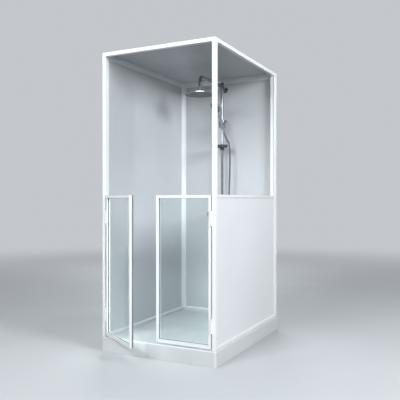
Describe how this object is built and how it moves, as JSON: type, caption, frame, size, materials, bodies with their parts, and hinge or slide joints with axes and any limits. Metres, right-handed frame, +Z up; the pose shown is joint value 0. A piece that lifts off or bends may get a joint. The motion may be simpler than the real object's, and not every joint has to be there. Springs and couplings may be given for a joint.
{
  "type": "shower enclosure",
  "caption": "Rectangular shower cabin: low tray, white frame with roof, solid rear and left walls, half-height side panel, glazed half doors, rain head and handset column.",
  "frame": {"origin": "bottom face of the middle adjustable foot, on the floor at the centre of the tray", "axes": "+Z up, +X to the right seen from the doors, -Y towards the user in front of the doors, +Y to the rear wall with the shower column"},
  "size_m": [0.9, 1.4536, 2.116],
  "materials": {
    "frame": "smooth white powder coat",
    "wall": "satin white sheet",
    "tray": "glossy white moulded acrylic",
    "glass": "clear toughened glass",
    "chrome": "polished chrome plate",
    "hose": "wound chromed metal hose",
    "steel": "fine brushed",
    "rubber": "matt black rubber",
    "grey_rubber": "matt grey seal",
    "black_plastic": "moulded",
    "waste_plastic": "moulded",
    "inner_plastic": "moulded",
    "nozzles": "soft grey",
    "dish": "silver-grey moulded"
  },
  "bodies": {
    "cabin": {"shower_tray": "tray", "tray_feet": "black_plastic", "waste_body": "waste_plastic", "post_front_left": "frame", "post_front_right": "frame", "post_rear_left": "frame", "post_rear_right": "frame", "post_caps": "frame", "rail_front": "frame", "rail_rear": "frame", "rail_left": "frame", "rail_right": "frame", "corner_connectors": "inner_plastic", "base_gasket": "grey_rubber", "roof_panel": "wall", "wall_channels": "frame", "wall_rear": "wall", "wall_left": "wall", "jamb_rear_right": "frame", "side_rail_bottom": "frame", "side_rail_top": "frame", "side_panel": "wall", "hinge_right_fixed": "frame", "hinge_right_pins": "steel", "hinge_left_fixed": "frame", "hinge_left_pins": "steel", "hinge_seals": "rubber", "riser": "chrome", "riser_bracket": "chrome", "mixer_body": "chrome", "inlet_unions": "chrome", "hose_nut_lower": "chrome", "hose": "hose"},
    "left_door": {"door_left_stiles": "frame", "door_left_rails": "frame", "door_left_glass": "glass", "door_left_gasket": "rubber", "door_left_meeting_seal": "grey_rubber", "hinge_left_moving": "frame"},
    "right_door": {"door_right_stiles": "frame", "door_right_rails": "frame", "door_right_glass": "glass", "door_right_gasket": "rubber", "hinge_right_moving": "frame"},
    "arm": {"shower_arm": "chrome", "arm_nut": "chrome", "ball_joint": "chrome"},
    "tilt_ring": {"ball_seat": "rubber"},
    "rain_head": {"rain_head": "chrome", "nozzle_plate": "nozzles"},
    "slider": {"slider": "chrome"},
    "slider_knob": {"slider_knob": "chrome"},
    "handset_holder": {"handset_holder": "chrome"},
    "handset": {"handset": "chrome", "spray_face": "nozzles", "hose_nut_upper": "chrome"},
    "soap_dish": {"soap_dish": "dish"},
    "temperature_knob": {"temperature_knob": "chrome"},
    "flow_knob": {"flow_knob": "chrome"},
    "waste_cover": {"waste_cover": "chrome"}
  },
  "joints": [
    {"name": "left_door_swing", "type": "hinge", "parent": "cabin", "child": "left_door", "pos_m": [-0.4153, -0.5982, 0.611], "axis": [0, 0, -1], "range_deg": [-32, 63]},
    {"name": "right_door_swing", "type": "hinge", "parent": "cabin", "child": "right_door", "pos_m": [0.4153, -0.5982, 0.611], "axis": [0, 0, 1], "range_deg": [0, 95]},
    {"name": "arm_swivel", "type": "hinge", "parent": "cabin", "child": "arm", "pos_m": [-0.014, 0.508, 2.043], "axis": [0, 0, 1], "range_deg": [-40, 40]},
    {"name": "head_tilt_side", "type": "hinge", "parent": "arm", "child": "tilt_ring", "pos_m": [-0.014, 0.093, 1.945], "axis": [1, 0, 0], "range_deg": [-12, 12]},
    {"name": "head_tilt_front", "type": "hinge", "parent": "tilt_ring", "child": "rain_head", "pos_m": [-0.014, 0.093, 1.945], "axis": [0, 1, 0], "range_deg": [-12, 12]},
    {"name": "slider_height", "type": "slide", "parent": "cabin", "child": "slider", "axis": [0, 0, 1], "range_m": [-0.08, 0.07], "deforming": ["hose"]},
    {"name": "slider_knob_turn", "type": "hinge", "parent": "slider", "child": "slider_knob", "pos_m": [0.011, 0.508, 1.74], "axis": [1, 0, 0], "range_deg": [0, 180]},
    {"name": "holder_tilt", "type": "hinge", "parent": "slider", "child": "handset_holder", "pos_m": [0.02313, 0.47022, 1.71555], "axis": [0.9272, -0.3746, 0], "range_deg": [-20, 15]},
    {"name": "handset_lift", "type": "slide", "parent": "handset_holder", "child": "handset", "axis": [-0.1559, -0.386, 0.9092], "range_m": [0, 0.05]},
    {"name": "dish_height", "type": "slide", "parent": "cabin", "child": "soap_dish", "axis": [0, 0, 1], "range_m": [-0.25, 0]},
    {"name": "temperature_turn", "type": "hinge", "parent": "cabin", "child": "temperature_knob", "pos_m": [0.0806, 0.508, 0.95], "axis": [1, 0, 0], "range_deg": [-60, 120]},
    {"name": "flow_turn", "type": "hinge", "parent": "cabin", "child": "flow_knob", "pos_m": [-0.1086, 0.508, 0.95], "axis": [1, 0, 0], "range_deg": [-90, 90]},
    {"name": "waste_cover_lift", "type": "slide", "parent": "cabin", "child": "waste_cover", "axis": [0, 0, 1], "range_m": [0, 0.04]}
  ]
}
